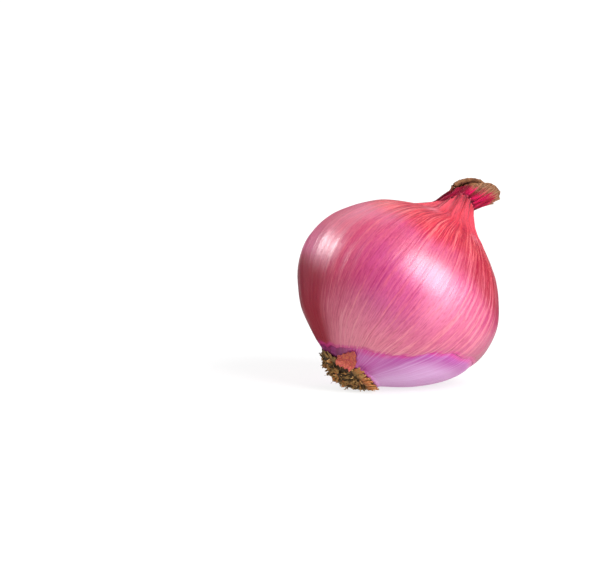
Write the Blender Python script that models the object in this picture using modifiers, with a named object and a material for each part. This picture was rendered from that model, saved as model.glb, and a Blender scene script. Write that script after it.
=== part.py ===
"""A red onion lying on its flank, neck up.

The onion is shaped upright in its own bulb frame, with the axis along +Z from the root (0) to the neck.
An empty then leans it towards +X, so that it lies on the bare flank beside its root, on the plane z = 0.
Angles round the bulb are in degrees from the bulb's own +X, which ends up underneath.
"""

import math
import random

import bmesh
import bpy
import numpy as np
from mathutils import Matrix, Vector

MM = 0.001

# How the onion lies: how far its axis leans from upright, and where the centre of the root's junction is.
LEAN_DEG = 38.0
ROOT_CENTRE = (-22.24 * MM, -0.03 * MM, 6.35 * MM)

# The outer skin's outline from the root to the tip of the neck, as (height, radius) in mm.
OUTLINE_MM = (
    (0.4, 0.0), (0.5, 6.0), (0.7, 11.6), (2.4, 13.4), (6.0, 19.2), (10.1, 25.2), (15.2, 30.3),
    (22.3, 35.1), (30.0, 37.7), (37.0, 38.0), (44.6, 36.1), (51.7, 31.9), (57.8, 26.4), (61.8, 21.0),
    (65.0, 15.6), (67.5, 11.7), (70.8, 8.4), (73.9, 6.6), (79.0, 6.2),
)  # fmt: skip

# The bulb isn't quite straight: how far its middle lies towards NECK_WIDTH_DEG, as (height, drift) in mm.
DRIFT_MM = (
    (0, 0), (5, -0.7), (11, -1.4), (17, -1.0), (30, -0.75), (44, -0.4), (52, -0.5), (60, -0.1),
    (66, 1.3), (70, 0.3), (74, -0.5), (80, -0.5),
)  # fmt: skip

# The skin has torn away below this edge, given as (degrees round the bulb, height in mm).
TORN_EDGE = (
    (-180, 2.3), (-153, 2.9), (-125, 5.2), (-108, 7.2), (-94, 9.4), (-84, 12.6), (-72, 19.8), (-62, 23.8),
    (-41, 26.8), (-10, 27.6), (25, 25.8), (52, 23.6), (70, 17.0), (88, 10.2), (112, 6.4), (145, 2.6),
)  # fmt: skip

# The skin's upper end round the neck: a gathered tongue in front, lower behind.
COLLAR_TOP = (
    (-180, 71.2), (-157, 72.0), (-138, 74.2), (-122, 76.6), (-100, 77.4), (-72, 76.0), (-48, 74.8),
    (-20, 73.6), (20, 72.6), (70, 73.6), (120, 72.6), (155, 71.0),
)  # fmt: skip

SKIN_THICK = 0.6 * MM
LAYER_GAP = 0.42 * MM
PLEAT_DEPTH = 0.42 * MM
BARE_SWELL = 0.6 * MM
BARE_SWELL_RUN = 4.0 * MM

BULB_SEGMENTS = 48
BULB_RINGS = 22
SKIN_SEGMENTS = 64
SKIN_ROWS = 18
CORE_SHOULDER = 65.5 * MM
CORE_TOP = 69.8 * MM

# The dry neck leaves, pressed flat and folded to one side. Their width runs along this direction.
NECK_WIDTH_DEG = -26.5
NECK_SEGMENTS = 40
NECK_RINGS = 20
NECK_LEFT_MM = ((70.9, -5.6), (72.0, -6.9), (73.6, -7.0), (75.4, -6.2), (76.8, -5.6), (78.2, -6.6))
NECK_RIGHT_MM = ((70.9, 4.9), (72.6, 4.5), (74.2, 4.6), (76.0, 6.9), (79.6, 8.8), (83.0, 10.6))
NECK_HALF_DEPTH_MM = ((0, 4.3), (0.4, 3.9), (0.75, 3.2), (1, 2.3))
RIM_ARCH = 6.3 * MM
MOUTH_DEPTH = 3.2 * MM

ROOT_RADIUS = 11.4 * MM
ROOT_DEPTH = 4.1 * MM
ROOT_STUBS = 105
ROOT_FLAKES = 17

SCRAP_CENTRE_DEG = -131.0
SCRAP_CELLS = 7

COLOURS = {
    "bulb": ((0.62, 0.28, 0.52), 0.35),
    "outer_skin": ((0.78, 0.16, 0.28), 0.30),
    "neck_leaves": ((0.42, 0.03, 0.09), 0.60),
    "root_plate": ((0.16, 0.10, 0.045), 0.90),
    "skin_scrap": ((0.50, 0.12, 0.07), 0.65),
}


def smoothstep(x):
    x = min(1.0, max(0.0, x))
    return x * x * (3 - 2 * x)


def catmull_rom(points, per_span):
    """Points on a smooth curve through the given ones."""
    rows = [np.array(p, float) for p in points]
    rows = [2 * rows[0] - rows[1], *rows, 2 * rows[-1] - rows[-2]]
    curve = []
    for a, b, c, d in zip(rows, rows[1:], rows[2:], rows[3:]):
        for step in range(per_span):
            x = step / per_span
            curve.append(
                0.5 * (2 * b + (c - a) * x + (2 * a - 5 * b + 4 * c - d) * x**2 + (3 * b - a - 3 * c + d) * x**3)
            )
    curve.append(rows[-2])
    return np.array(curve)


class Outline:
    """The outer skin's outline, with its run from 0 at the root to 1 at the tip of the neck."""

    def __init__(self, points_mm):
        curve = catmull_rom(points_mm, 24) * MM
        self.height, self.radius = curve[:, 0], curve[:, 1]
        lengths = np.hypot(np.diff(self.height), np.diff(self.radius))
        self.run = np.concatenate([[0.0], np.cumsum(lengths)]) / lengths.sum()
        tangent = np.stack([np.gradient(self.height), np.gradient(self.radius)], axis=1)
        tangent /= np.linalg.norm(tangent, axis=1)[:, None]
        self.normal_up, self.normal_out = -tangent[:, 1], tangent[:, 0]

    def at(self, run):
        """(height, radius, normal's upward part, normal's outward part)"""
        return [
            float(np.interp(run, self.run, row))
            for row in (self.height, self.radius, self.normal_up, self.normal_out)
        ]

    def run_at(self, height):
        return float(np.interp(height, self.height, self.run))


OUTLINE = Outline(OUTLINE_MM)


def height_round(table, degrees):
    """The height, in metres, of a closed edge at this angle round the bulb."""
    angles = [a - 360 for a, _ in table] + [a for a, _ in table] + [a + 360 for a, _ in table]
    heights = [h for _, h in table] * 3
    x = (degrees + 180) % 360 - 180
    i = max(k for k in range(len(angles)) if angles[k] <= x)
    share = (x - angles[i]) / (angles[i + 1] - angles[i])
    return (heights[i] + (heights[i + 1] - heights[i]) * smoothstep(share)) * MM


def torn_edge(theta):
    ragged = 0.18 * math.sin(9 * theta + 1.0) + 0.12 * math.sin(17 * theta)
    return height_round(TORN_EDGE, math.degrees(theta)) + ragged * MM


def collar_top(theta):
    ragged = 0.55 * math.sin(12 * theta + 0.4) + 0.35 * math.sin(19 * theta)
    return height_round(COLLAR_TOP, math.degrees(theta)) + ragged * MM


def swelling(theta, height):
    """How far the onion's flank stands out from a true turned form."""
    broad = 0.30 * math.cos(2 * theta + 0.6) + 0.22 * math.cos(3 * theta - 1.1) + 0.12 * math.cos(5 * theta + 2.0)
    return broad * MM * smoothstep(height / (14 * MM)) * (1 - smoothstep((height - 58 * MM) / (9 * MM)))


def relief(theta, height):
    """How far the skin stands out over its veins and over its pleats at the neck."""
    veins = 0.10 * math.cos(18 * theta + 1.5 * math.sin(2 * theta))
    pleats = PLEAT_DEPTH * math.cos(12 * theta + 0.8 * math.sin(3 * theta))
    belly = smoothstep((height - 6 * MM) / (14 * MM)) * (1 - smoothstep((height - 58 * MM) / (9 * MM)))
    return veins * MM * belly + pleats * gathering(height)


def gathering(height):
    """How far the skin is gathered in at this height, up to 1 at the neck."""
    return smoothstep((height - 61 * MM) / (8 * MM))


def on_skin(theta, run, inward=0.0, fine=1.0):
    """A point that far inside the outer skin's outer face, with or without its fine relief."""
    height, radius, up, out = OUTLINE.at(run)
    radius += swelling(theta, height) + fine * relief(theta, height)
    radius = max(0.0, radius - out * inward)
    drift = float(np.interp(height, [h * MM for h, _ in DRIFT_MM], [d * MM for _, d in DRIFT_MM]))
    width = math.radians(NECK_WIDTH_DEG)
    x, y = radius * math.cos(theta), radius * math.sin(theta)
    return Vector((x + drift * math.cos(width), y + drift * math.sin(width), height - up * inward))


def bare_inset(theta, height):
    """How far the bulb's own surface lies inside the skin's outer face, less where the skin is gone."""
    below = torn_edge(theta) - height
    bare = BARE_SWELL * smoothstep((below - 0.6 * MM) / BARE_SWELL_RUN)
    return SKIN_THICK + LAYER_GAP + PLEAT_DEPTH * gathering(height) - bare


def on_bulb(theta, share):
    """A point of the fleshy bulb, from its base at share 0 to its top inside the neck at 1."""
    run = share * OUTLINE.run_at(CORE_TOP)
    height = OUTLINE.at(run)[0]
    point = on_skin(theta, run, bare_inset(theta, height), fine=0.0)
    rounding = max(0.0, height - CORE_SHOULDER) / (CORE_TOP - CORE_SHOULDER)
    squeeze = math.sqrt(max(0.0, 1 - min(1.0, rounding) ** 2))
    return Vector((point.x * squeeze, point.y * squeeze, point.z))


def add_object(name, shape, collection, parent=None):
    """A smooth-shaded mesh object from a bmesh, which is freed."""
    mesh = bpy.data.meshes.new(name)
    shape.to_mesh(mesh)
    shape.free()
    mesh.shade_smooth()
    obj = bpy.data.objects.new(name, mesh)
    obj.parent = parent
    collection.objects.link(obj)
    return obj


def wrapped_ball(place, segments, rings):
    """A UV sphere whose points are put at place(angle, share), with share from 0 at the bottom to 1."""
    shape = bmesh.new()
    bmesh.ops.create_uvsphere(shape, u_segments=segments, v_segments=rings, radius=1.0)
    for vertex in shape.verts:
        x, y, z = vertex.co.normalized()
        vertex.co = place(math.atan2(y, x), math.acos(max(-1.0, min(1.0, -z))) / math.pi)
    return shape


def wrapped_grid(place, across, along, closed):
    """An open sheet of grid cells, put at place(u, v) with both from 0 to 1. A closed one is welded round."""
    shape = bmesh.new()
    bmesh.ops.create_grid(shape, x_segments=across, y_segments=along, size=1.0)
    for vertex in shape.verts:
        vertex.co = place((vertex.co.x + 1) / 2, (vertex.co.y + 1) / 2)
    if closed:
        bmesh.ops.remove_doubles(shape, verts=shape.verts, dist=1e-6)
    return shape


def face_outwards(shape):
    """Turns a sheet round the bulb's axis so that its normals point away from the bulb."""
    shape.normal_update()
    middle = Vector((0, 0, 35 * MM))
    outward = sum((f.calc_center_median() - middle).dot(f.normal) for f in shape.faces)
    if outward < 0:
        bmesh.ops.reverse_faces(shape, faces=shape.faces)


def thicken(obj, thickness, offset):
    modifier = obj.modifiers.new("thickness", "SOLIDIFY")
    modifier.thickness = thickness
    modifier.offset = offset
    modifier.use_even_offset = True


def cut_by(obj, cutter):
    modifier = obj.modifiers.new("floor_cut", "BOOLEAN")
    modifier.operation = "DIFFERENCE"
    modifier.object = cutter


def make_bulb(collection, parent):
    """The fleshy bulb, bare beside the root where the skin has come off."""
    return add_object("bulb", wrapped_ball(on_bulb, BULB_SEGMENTS, BULB_RINGS), collection, parent)


def make_outer_skin(collection, parent):
    """The papery skin, from its torn edge up to its gathered end round the neck."""

    def place(u, v):
        theta = 2 * math.pi * u
        low, high = OUTLINE.run_at(torn_edge(theta)), OUTLINE.run_at(collar_top(theta))
        return on_skin(theta, low + (high - low) * (1 - (1 - v) ** 1.35))

    sheet = wrapped_grid(place, SKIN_SEGMENTS, SKIN_ROWS, closed=True)
    face_outwards(sheet)
    skin = add_object("outer_skin", sheet, collection, parent)
    thicken(skin, SKIN_THICK, -1)
    return skin


def along(table, share):
    """The pair at this share, from 0 to 1, of a list of (height, across) pairs in mm."""
    steps = np.linspace(0, 1, len(table))
    return [float(np.interp(share, steps, row)) * MM for row in zip(*table)]


def in_neck_leaves(phi, share):
    """A point of the neck leaves: the base disc, the wall up to the ragged rim, then down into the mouth."""
    base_share, wall_share = 0.10, 0.78
    climb = min(1.0, max(0.0, (share - base_share) / (wall_share - base_share)))
    sink = max(0.0, (share - wall_share) / (1 - wall_share))
    closing = min(1.0, share / base_share) * (1 - sink)
    left_height, left = along(NECK_LEFT_MM, climb)
    right_height, right = along(NECK_RIGHT_MM, climb)
    pleat = 1 + 0.07 * math.cos(11 * phi + 1.2 * math.sin(2 * phi)) * smoothstep(climb * 2 - 0.4)
    side = closing * pleat * math.cos(phi)
    away = closing * pleat * math.sin(phi)
    depths = [d for _, d in NECK_HALF_DEPTH_MM], [c for c, _ in NECK_HALF_DEPTH_MM]
    half_depth = float(np.interp(climb, depths[1], depths[0])) * MM

    # The rim arches between its two ends, and its near side is cut lower on the left.
    lower = 0.0 if away > 0 else 0.30 * smoothstep(0.5 - math.cos(phi))
    ragged = (0.35 * math.sin(9 * phi) + 0.25 * math.sin(14 * phi + 1.0)) * MM * climb
    arch = RIM_ARCH * climb**2 * (1 - lower) * abs(math.sin(phi)) ** (1.15 - 0.45 * math.cos(phi))
    height = (left_height + right_height) / 2 + side * (right_height - left_height) / 2 + arch + ragged
    height -= MOUTH_DEPTH * smoothstep(sink)
    across = (left + right) / 2 + side * (right - left) / 2
    point = Vector((across, away * half_depth, height))
    return Matrix.Rotation(math.radians(NECK_WIDTH_DEG), 3, "Z") @ point


def make_neck_leaves(collection, parent):
    """The dried tops of the leaves, pressed flat above the skin's collar and cut across."""
    shape = wrapped_ball(in_neck_leaves, NECK_SEGMENTS, NECK_RINGS)
    return add_object("neck_leaves", shape, collection, parent)


def root_dome(radius):
    """The height of the root plate's underside at this distance from the axis."""
    return -ROOT_DEPTH * (1 - (radius / ROOT_RADIUS) ** 2)


def root_core(theta, share):
    """A point of the root plate's solid core, domed below and nearly flat where it meets the bulb."""
    turn = 0.62
    if share < turn:
        radius = ROOT_RADIUS * math.sin(0.5 * math.pi * share / turn)
        height = root_dome(radius)
    else:
        radius = ROOT_RADIUS * (1 - (share - turn) / (1 - turn))
        height = 0.2 * MM * (1 - radius / ROOT_RADIUS)
    return Vector((radius * math.cos(theta), radius * math.sin(theta), height))


def root_stub(rng, radius, theta):
    """One short dry root, wider at its base, which is sunk in the plate."""
    length = rng.uniform(1.7, 2.7) * MM
    shape = bmesh.new()
    bmesh.ops.create_cone(
        shape, cap_ends=True, segments=5, radius1=rng.uniform(0.75, 1.05) * MM,
        radius2=rng.uniform(0.35, 0.65) * MM, depth=length,
    )  # fmt: skip
    slope = 2 * ROOT_DEPTH * radius / ROOT_RADIUS**2
    outward = Vector((math.cos(theta), math.sin(theta), 0))
    direction = (outward * slope - Vector((0, 0, 1))).normalized()
    direction += Vector([rng.uniform(-0.38, 0.38) for _ in range(3)])
    foot = outward * radius + Vector((0, 0, root_dome(radius)))
    turn = direction.to_track_quat("Z", "Y").to_matrix().to_4x4()
    sunk = foot - direction.normalized() * 1.0 * MM
    shape.transform(Matrix.Translation(sunk + direction.normalized() * length / 2) @ turn)
    return shape


def root_flake(rng, theta):
    """A dry leaf base standing up from the plate's rim along the bulb's flank."""
    half_width = rng.uniform(1.0, 1.8) * MM
    length = rng.uniform(1.2, 2.6) * (0.7 + 0.3 * math.cos(theta + 0.7)) * MM
    skew = rng.uniform(-0.5, 0.5) * half_width
    shape = bmesh.new()
    bmesh.ops.create_cube(shape, size=1.0)
    flank = Vector((0.80, 0, 0.60))
    lift = Vector((0.60, 0, -0.80))
    for vertex in shape.verts:
        tip = vertex.co.z > 0
        side = vertex.co.y * (0.5 if tip else 2.0) * half_width + (skew if tip else 0)
        along = length if tip else -1.6 * MM
        thick = (0.5 + vertex.co.x) * (0.7 if tip else 1.0) * MM + 0.35 * MM
        foot = Vector((ROOT_RADIUS - 0.2 * MM, 0, -0.15 * MM))
        vertex.co = foot + flank * along + lift * thick + Vector((0, side, 0))
    shape.transform(Matrix.Rotation(theta, 4, "Z"))
    return shape


def beside_scrap(theta):
    return abs((math.degrees(theta) - SCRAP_CENTRE_DEG + 180) % 360 - 180) < 26


def make_root_plate(collection, parent, loose):
    """The root plate with its mat of dry root stubs and a ring of leaf bases, fused into one body."""
    plate = add_object("root_plate", wrapped_ball(root_core, 36, 12), collection)
    rng = random.Random(5)
    golden = math.pi * (3 - math.sqrt(5))
    shapes = []
    for i in range(ROOT_STUBS):
        theta = i * golden + rng.uniform(-0.12, 0.12)
        rim = ROOT_RADIUS - (1.0 if beside_scrap(theta) else 0.3) * MM
        shapes.append(root_stub(rng, rim * math.sqrt((i + 0.5) / ROOT_STUBS), theta))
    for i in range(ROOT_FLAKES):
        theta = 2 * math.pi * (i + rng.uniform(-0.2, 0.2)) / ROOT_FLAKES
        if not beside_scrap(theta):
            shapes.append(root_flake(rng, theta))
    for i, shape in enumerate(shapes):
        add_object(f"root_piece_{i:03d}", shape, loose)
    union = plate.modifiers.new("stubs", "BOOLEAN")
    union.operation = "UNION"
    union.operand_type = "COLLECTION"
    union.collection = loose
    fused = bpy.data.meshes.new_from_object(plate.evaluated_get(bpy.context.evaluated_depsgraph_get()))
    plate.modifiers.clear()
    plate.data = fused
    plate.parent = parent
    for piece in list(loose.objects):
        bpy.data.objects.remove(piece)
    bpy.data.collections.remove(loose)
    return plate


def make_skin_scrap(collection, parent):
    """A scrap of an older skin that still clings to the flank, just above the root plate."""

    def place(u, v):
        skew = 4.0 * (v - 0.5) + 1.2 * math.sin(7 * v)
        degrees = SCRAP_CENTRE_DEG + (u - 0.5) * (33 - 5 * v) + skew
        theta = math.radians(degrees)
        height = (0.9 + v * (2.2 + 2.0 * u) + 0.2 * math.sin(8 * u)) * MM
        run = OUTLINE.run_at(height)
        return on_skin(theta, run, bare_inset(theta, height) - LAYER_GAP, fine=0.0)

    sheet = wrapped_grid(place, SCRAP_CELLS, SCRAP_CELLS, closed=False)
    face_outwards(sheet)
    scrap = add_object("skin_scrap", sheet, collection, parent)
    thicken(scrap, SKIN_THICK, 1)
    return scrap


def make_floor_cutter(collection):
    """A block below the plane that the onion lies on."""
    shape = bmesh.new()
    bmesh.ops.create_cube(shape, size=1.0)
    size = Vector((140, 140, 20)) * MM
    bmesh.ops.scale(shape, vec=size, verts=shape.verts)
    cutter = add_object("floor_cutter", shape, collection)
    cutter.location.z = -size.z / 2
    cutter.hide_render = True
    cutter.display_type = "WIRE"
    return cutter


def give_material(obj):
    colour, roughness = COLOURS[obj.name]
    material = bpy.data.materials.new(obj.name)
    material.use_nodes = True
    shader = material.node_tree.nodes["Principled BSDF"]
    shader.inputs["Base Color"].default_value = (*colour, 1)
    shader.inputs["Roughness"].default_value = roughness
    shader.inputs["Metallic"].default_value = 0.0
    obj.data.materials.clear()
    obj.data.materials.append(material)


def new_collection(name):
    collection = bpy.data.collections.new(name)
    bpy.context.scene.collection.children.link(collection)
    return collection


def main():
    for obj in list(bpy.data.objects):
        bpy.data.objects.remove(obj)
    parts, helpers = new_collection("onion"), new_collection("cutters")
    lean = bpy.data.objects.new("onion_lean", None)
    lean.location = ROOT_CENTRE
    lean.rotation_euler.y = math.radians(LEAN_DEG)
    parts.objects.link(lean)

    bulb = make_bulb(parts, lean)
    make_outer_skin(parts, lean)
    make_neck_leaves(parts, lean)
    plate = make_root_plate(parts, lean, new_collection("loose_roots"))
    make_skin_scrap(parts, lean)
    cutter = make_floor_cutter(helpers)
    for obj in (bulb, plate):
        cut_by(obj, cutter)
    for obj in parts.objects:
        if obj.type == "MESH":
            give_material(obj)


main()
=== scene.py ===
"""The looks of a red onion that lies on its flank, neck up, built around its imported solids.

Every piece is shaped upright in the bulb's own frame, in mm, with the axis along +Z from the root (0) to the
neck, and is then leaned over as the solids are. Angles round the bulb count from its own +X, which ends up
underneath.
"""

import math
import random

import bmesh
import bpy
import numpy as np
from mathutils import Matrix, Vector


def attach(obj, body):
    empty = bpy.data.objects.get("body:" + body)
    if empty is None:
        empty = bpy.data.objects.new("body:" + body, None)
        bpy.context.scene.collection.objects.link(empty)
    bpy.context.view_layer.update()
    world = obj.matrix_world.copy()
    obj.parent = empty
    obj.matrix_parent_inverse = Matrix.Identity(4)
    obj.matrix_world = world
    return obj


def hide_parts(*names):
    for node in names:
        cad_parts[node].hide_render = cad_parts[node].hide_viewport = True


MM = 0.001

# How the onion lies, as in the solids.
LEAN = np.array(Matrix.Rotation(math.radians(38.0), 3, "Y"))
ROOT_CENTRE = Vector((-22.24, -0.03, 6.35)) * MM

# What lies lower than this above the plane is pressed together, and stays above the lowest height.
PRESSED_BELOW_MM = 0.15
LOWEST_MM = 0.05
PRESS_DEPTH_MM = 0.3

BULB_WIDTH_MM = 76

# The outer skin's outline from the root to the tip of the neck, as (height, radius) in mm.
OUTLINE_MM = (
    (0.4, 0.0), (0.5, 6.0), (0.7, 11.6), (2.4, 13.4), (6.0, 19.2), (10.1, 25.2), (15.2, 30.3),
    (22.3, 35.1), (30.0, 37.7), (37.0, 38.0), (44.6, 36.1), (51.7, 31.9), (57.8, 26.4), (61.8, 21.0),
    (65.0, 15.6), (67.5, 11.7), (70.8, 8.4), (73.9, 6.6), (79.0, 6.2),
)  # fmt: skip

# The neck is flat and wide towards this angle, and the bulb's middle drifts that way, as (height, drift) in mm.
NECK_WIDTH = math.radians(-26.5)
DRIFT_MM = (
    (0, 0), (5, -0.7), (11, -1.4), (17, -1.0), (30, -0.75), (44, -0.4), (52, -0.5), (60, -0.1),
    (66, 1.3), (70, 0.3), (74, -0.5), (80, -0.5),
)  # fmt: skip

# The side where the outline that shows is a little hollow.
HOLLOW_SIDE_DEG = 153.5

# The skin has torn away below this edge, given as (degrees round the bulb, height in mm).
TORN_EDGE = (
    (-180, 2.3), (-153, 2.9), (-125, 5.2), (-108, 7.2), (-94, 9.4), (-84, 12.6), (-72, 19.8), (-62, 23.8),
    (-41, 26.8), (-10, 27.6), (25, 25.8), (52, 23.6), (70, 17.0), (88, 10.2), (112, 6.4), (145, 2.6),
)  # fmt: skip

# The skin's upper end round the neck: a gathered tongue in front, lower behind.
COLLAR_TOP = (
    (-180, 68.8), (-168, 70.6), (-152, 73.4), (-136, 75.6), (-122, 77.0), (-100, 77.4), (-72, 76.0),
    (-48, 74.8), (-20, 73.6), (20, 72.6), (70, 72.4), (120, 70.0), (155, 68.0),
)  # fmt: skip

SKIN_COLUMNS = 480
SKIN_ROWS = 140
SKIN_INNER_ROWS = 10
SKIN_THICK_MM = 0.34
EDGE_THICK_MM = 0.10
EDGE_REACH_MM = 3.0

FLESH_COLUMNS = 360
FLESH_ROWS = 190
FLESH_INSET_MM = 0.42
FLESH_TOP_MM = 69.8
FLESH_DOME_FROM_MM = 65.5
FLESH_DOME_MM = 4.3


def smoothstep(x):
    """0 up to 0 and 1 from 1 on, smooth between them."""
    x = np.clip(x, 0.0, 1.0)
    return x * x * (3 - 2 * x)


def falloff(x):
    return 1 - smoothstep(x)


def rise(x, start, length):
    """0 up to start and 1 from this length past it."""
    return smoothstep((x - start) / length)


def fall(x, start, length):
    return falloff((x - start) / length)


def table_at(table, x):
    """The value at x of a list of pairs."""
    return np.interp(x, *zip(*table))


def vectors(x, y, z):
    """A grid of vectors from grids, rows or columns of their parts."""
    return np.stack(np.broadcast_arrays(x, y, z), axis=-1)


def srgb(red, green, blue):
    """A colour given as 0 to 255, made linear."""
    shares = (red / 255, green / 255, blue / 255)
    return tuple(c / 12.92 if c <= 0.04 else ((c + 0.055) / 1.055) ** 2.4 for c in shares)


def painted(shape, base, *layers):
    """A grid of one colour with layers over it, each given as (share from 0 to 1 at each point, colour)."""
    grid = np.zeros((*shape, 3)) + np.array(srgb(*base))
    for share, colour in layers:
        grid = grid + (np.array(srgb(*colour)) - grid) * np.clip(share, 0, 1)[..., None]
    return grid


def catmull_rom(points, per_span):
    """Points on a smooth curve through the given ones."""
    rows = [np.array(p, float) for p in points]
    rows = [2 * rows[0] - rows[1], *rows, 2 * rows[-1] - rows[-2]]
    curve = []
    for a, b, c, d in zip(rows, rows[1:], rows[2:], rows[3:]):
        for step in range(per_span):
            x = step / per_span
            bends = (c - a) * x + (2 * a - 5 * b + 4 * c - d) * x**2 + (3 * b - a - 3 * c + d) * x**3
            curve.append(0.5 * (2 * b + bends))
    curve.append(rows[-2])
    return np.array(curve)


class Outline:
    """The outer skin's outline in mm, with its run from 0 at the root to 1 at the tip of the neck."""

    def __init__(self, points_mm):
        curve = catmull_rom(points_mm, 24)
        self.height, self.radius = curve[:, 0], curve[:, 1]
        lengths = np.hypot(np.diff(self.height), np.diff(self.radius))
        self.length = lengths.sum()
        self.run = np.concatenate([[0.0], np.cumsum(lengths)]) / self.length
        tangent = np.stack([np.gradient(self.height), np.gradient(self.radius)], axis=1)
        tangent /= np.linalg.norm(tangent, axis=1)[:, None]
        self.normal_up, self.normal_out = -tangent[:, 1], tangent[:, 0]

    def at(self, run):
        """(height, radius, normal's upward part, normal's outward part)"""
        return [
            np.interp(run, self.run, row)
            for row in (self.height, self.radius, self.normal_up, self.normal_out)
        ]

    def run_at(self, height):
        return np.interp(height, self.height, self.run)


OUTLINE = Outline(OUTLINE_MM)


def all_round(columns):
    """Angles all round the bulb, as the one row of a grid."""
    return np.linspace(-math.pi, math.pi, columns, endpoint=False)[None, :]


def height_round(table, theta):
    """The height, in mm, of a closed edge at these angles round the bulb."""
    angles = np.array([angle + turn for turn in (-360, 0, 360) for angle, _ in table])
    heights = np.array([height for _, height in table] * 3)
    x = (np.degrees(theta) + 180) % 360 - 180
    i = np.clip(np.searchsorted(angles, x, side="right") - 1, 0, len(angles) - 2)
    share = (x - angles[i]) / (angles[i + 1] - angles[i])
    return heights[i] + (heights[i + 1] - heights[i]) * smoothstep(share)


def ripples(theta, along, seed, orders, turn=0.6, fade=0.5):
    """Seeded waves round the bulb that wander as they climb it: about -1 to 1, and the same all round."""
    rng = random.Random(seed)
    total, weights = np.zeros(np.broadcast(theta, along).shape), 0.0
    for order in orders:
        weight = rng.uniform(0.5, 1.0) / order**fade
        phase, wander, pace = rng.uniform(0, 2 * math.pi), rng.uniform(-turn, turn), rng.uniform(1.5, 4.0)
        total += weight * np.cos(order * theta + phase + wander * order * 0.1 * np.sin(pace * along + phase))
        weights += weight * weight
    return total / math.sqrt(weights * 2.0)


def bump_round(angles, centre, half_width, flat=0.0):
    """1 within flat degrees of this angle round the bulb, falling to 0 at half_width degrees from it."""
    away = np.abs((np.degrees(angles) - centre + 180) % 360 - 180)
    return falloff((away - flat) / (half_width - flat))


def band(values, centre, half_width):
    """1 at this value, falling off smoothly to either side."""
    return np.exp(-(((values - centre) / half_width) ** 2))


def torn_edge(theta):
    """The torn edge's height: the broad line, then waves, then short tears along the grain."""
    fine = 0.18 * np.sin(9 * theta + 1.0) + 0.12 * np.sin(17 * theta)
    waves = 0.10 * ripples(theta, 0.0, 3, range(11, 34), fade=0.3)
    tears = ripples(theta, 0.0, 4, range(38, 120), fade=0.1)
    frayed = 0.10 + 0.30 * bump_round(theta, -35, 60)
    return height_round(TORN_EDGE, theta) + fine + waves + frayed * np.maximum(0, tears) ** 1.5


def collar_top(theta):
    """The height of the skin's upper end, with a few long teeth where it is gathered."""
    teeth = ripples(theta, 0.0, 8, (9, 12, 15, 19, 24, 31), fade=0.2)
    fine = ripples(theta, 0.0, 9, range(40, 90), fade=0.2)
    return height_round(COLLAR_TOP, theta) + 0.65 * teeth - 0.4 * np.maximum(0, -teeth) + 0.25 * fine


def gathering(height):
    """How far the skin is gathered in at this height, up to 1 at the neck."""
    return rise(height, 61, 8)


def swelling(theta, height):
    """How far the onion's flank stands out from a true turned form, in mm."""
    broad = 0.30 * np.cos(2 * theta + 0.6) + 0.22 * np.cos(3 * theta - 1.1) + 0.12 * np.cos(5 * theta + 2.0)
    hollow = 0.80 * band(height, 53, 8) + 1.40 * band(height, 65, 4) + 0.65 * band(height, 13, 7)
    swollen = broad * smoothstep(height / 14) * fall(height, 58, 9)
    return swollen - bump_round(theta, HOLLOW_SIDE_DEG, 75) * hollow


def tucks(theta, height):
    """How deep, from 0 to 1, the narrow creases between the collar's folds are."""
    wave = 0.5 + 0.5 * np.cos(14 * theta + 0.9 * np.sin(3 * theta + 1) + 0.10 * height)
    return wave**5 * rise(height, 68.5, 5)


def relief(theta, height):
    """How far the skin stands out over its veins, dents and pleats, in mm."""
    veins = 0.08 * np.cos(18 * theta + 1.5 * np.sin(2 * theta))
    rising = 0.3 + 0.7 * rise(height, 12, 14)
    fine = 0.05 * ripples(theta, height / 30, 5, range(24, 70), fade=0.4) * rising
    dents = 0.16 * ripples(theta, height / 9, 6, range(3, 9), turn=2.5)
    pleats = 0.42 * np.cos(12 * theta + 0.8 * np.sin(3 * theta))
    folds = 0.22 * ripples(theta, height / 12, 7, range(17, 46), fade=0.6)
    belly = rise(height, 3, 10) * fall(height, 60, 9)
    return (veins + fine + dents) * belly + (pleats + folds - 0.75 * tucks(theta, height)) * gathering(height)


def on_skin(theta, run, inward=0.0, fine=True):
    """Points, in mm, that far inside the outer skin's outer face, with or without its fine relief."""
    height, radius, up, out = OUTLINE.at(run)
    radius = radius + swelling(theta, height)
    if fine:
        radius = radius + relief(theta, height)
    radius = np.maximum(0.0, radius - out * inward)
    drift = table_at(DRIFT_MM, height)
    x = radius * np.cos(theta) + drift * math.cos(NECK_WIDTH)
    y = radius * np.sin(theta) + drift * math.sin(NECK_WIDTH)
    return vectors(x, y, height - up * inward)


def lean_over(points):
    """Points in mm in the bulb's frame, as the onion lies in metres, flat where it rests on the plane below."""
    world = np.asarray(points).reshape(-1, 3) @ LEAN.T + np.array(ROOT_CENTRE) / MM
    low = world[:, 2] < PRESSED_BELOW_MM
    pressed = np.exp((world[low, 2] - PRESSED_BELOW_MM) / PRESS_DEPTH_MM)
    world[low, 2] = LOWEST_MM + (PRESSED_BELOW_MM - LOWEST_MM) * pressed
    return world * MM


def grid_faces(rows, columns, close_rows=False, close_columns=True):
    """Quads of a grid of points, row after row."""
    last_row, last_column = (rows if close_rows else rows - 1), (columns if close_columns else columns - 1)
    r, c = np.meshgrid(np.arange(last_row), np.arange(last_column), indexing="ij")
    r2, c2 = (r + 1) % rows, (c + 1) % columns
    corners = np.stack([r * columns + c, r * columns + c2, r2 * columns + c2, r2 * columns + c], axis=-1)
    return corners.reshape(-1, 4)


def tube_faces(rows, columns):
    """Quads round a tube of this many rings, with a cap at either end."""
    last = (rows - 1) * columns
    caps = [list(range(columns))[::-1], list(range(last, last + columns))]
    return grid_faces(rows, columns).tolist() + caps


def new_object(name, data):
    made = bpy.data.objects.new(name, data)
    bpy.context.scene.collection.objects.link(made)
    return made


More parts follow.
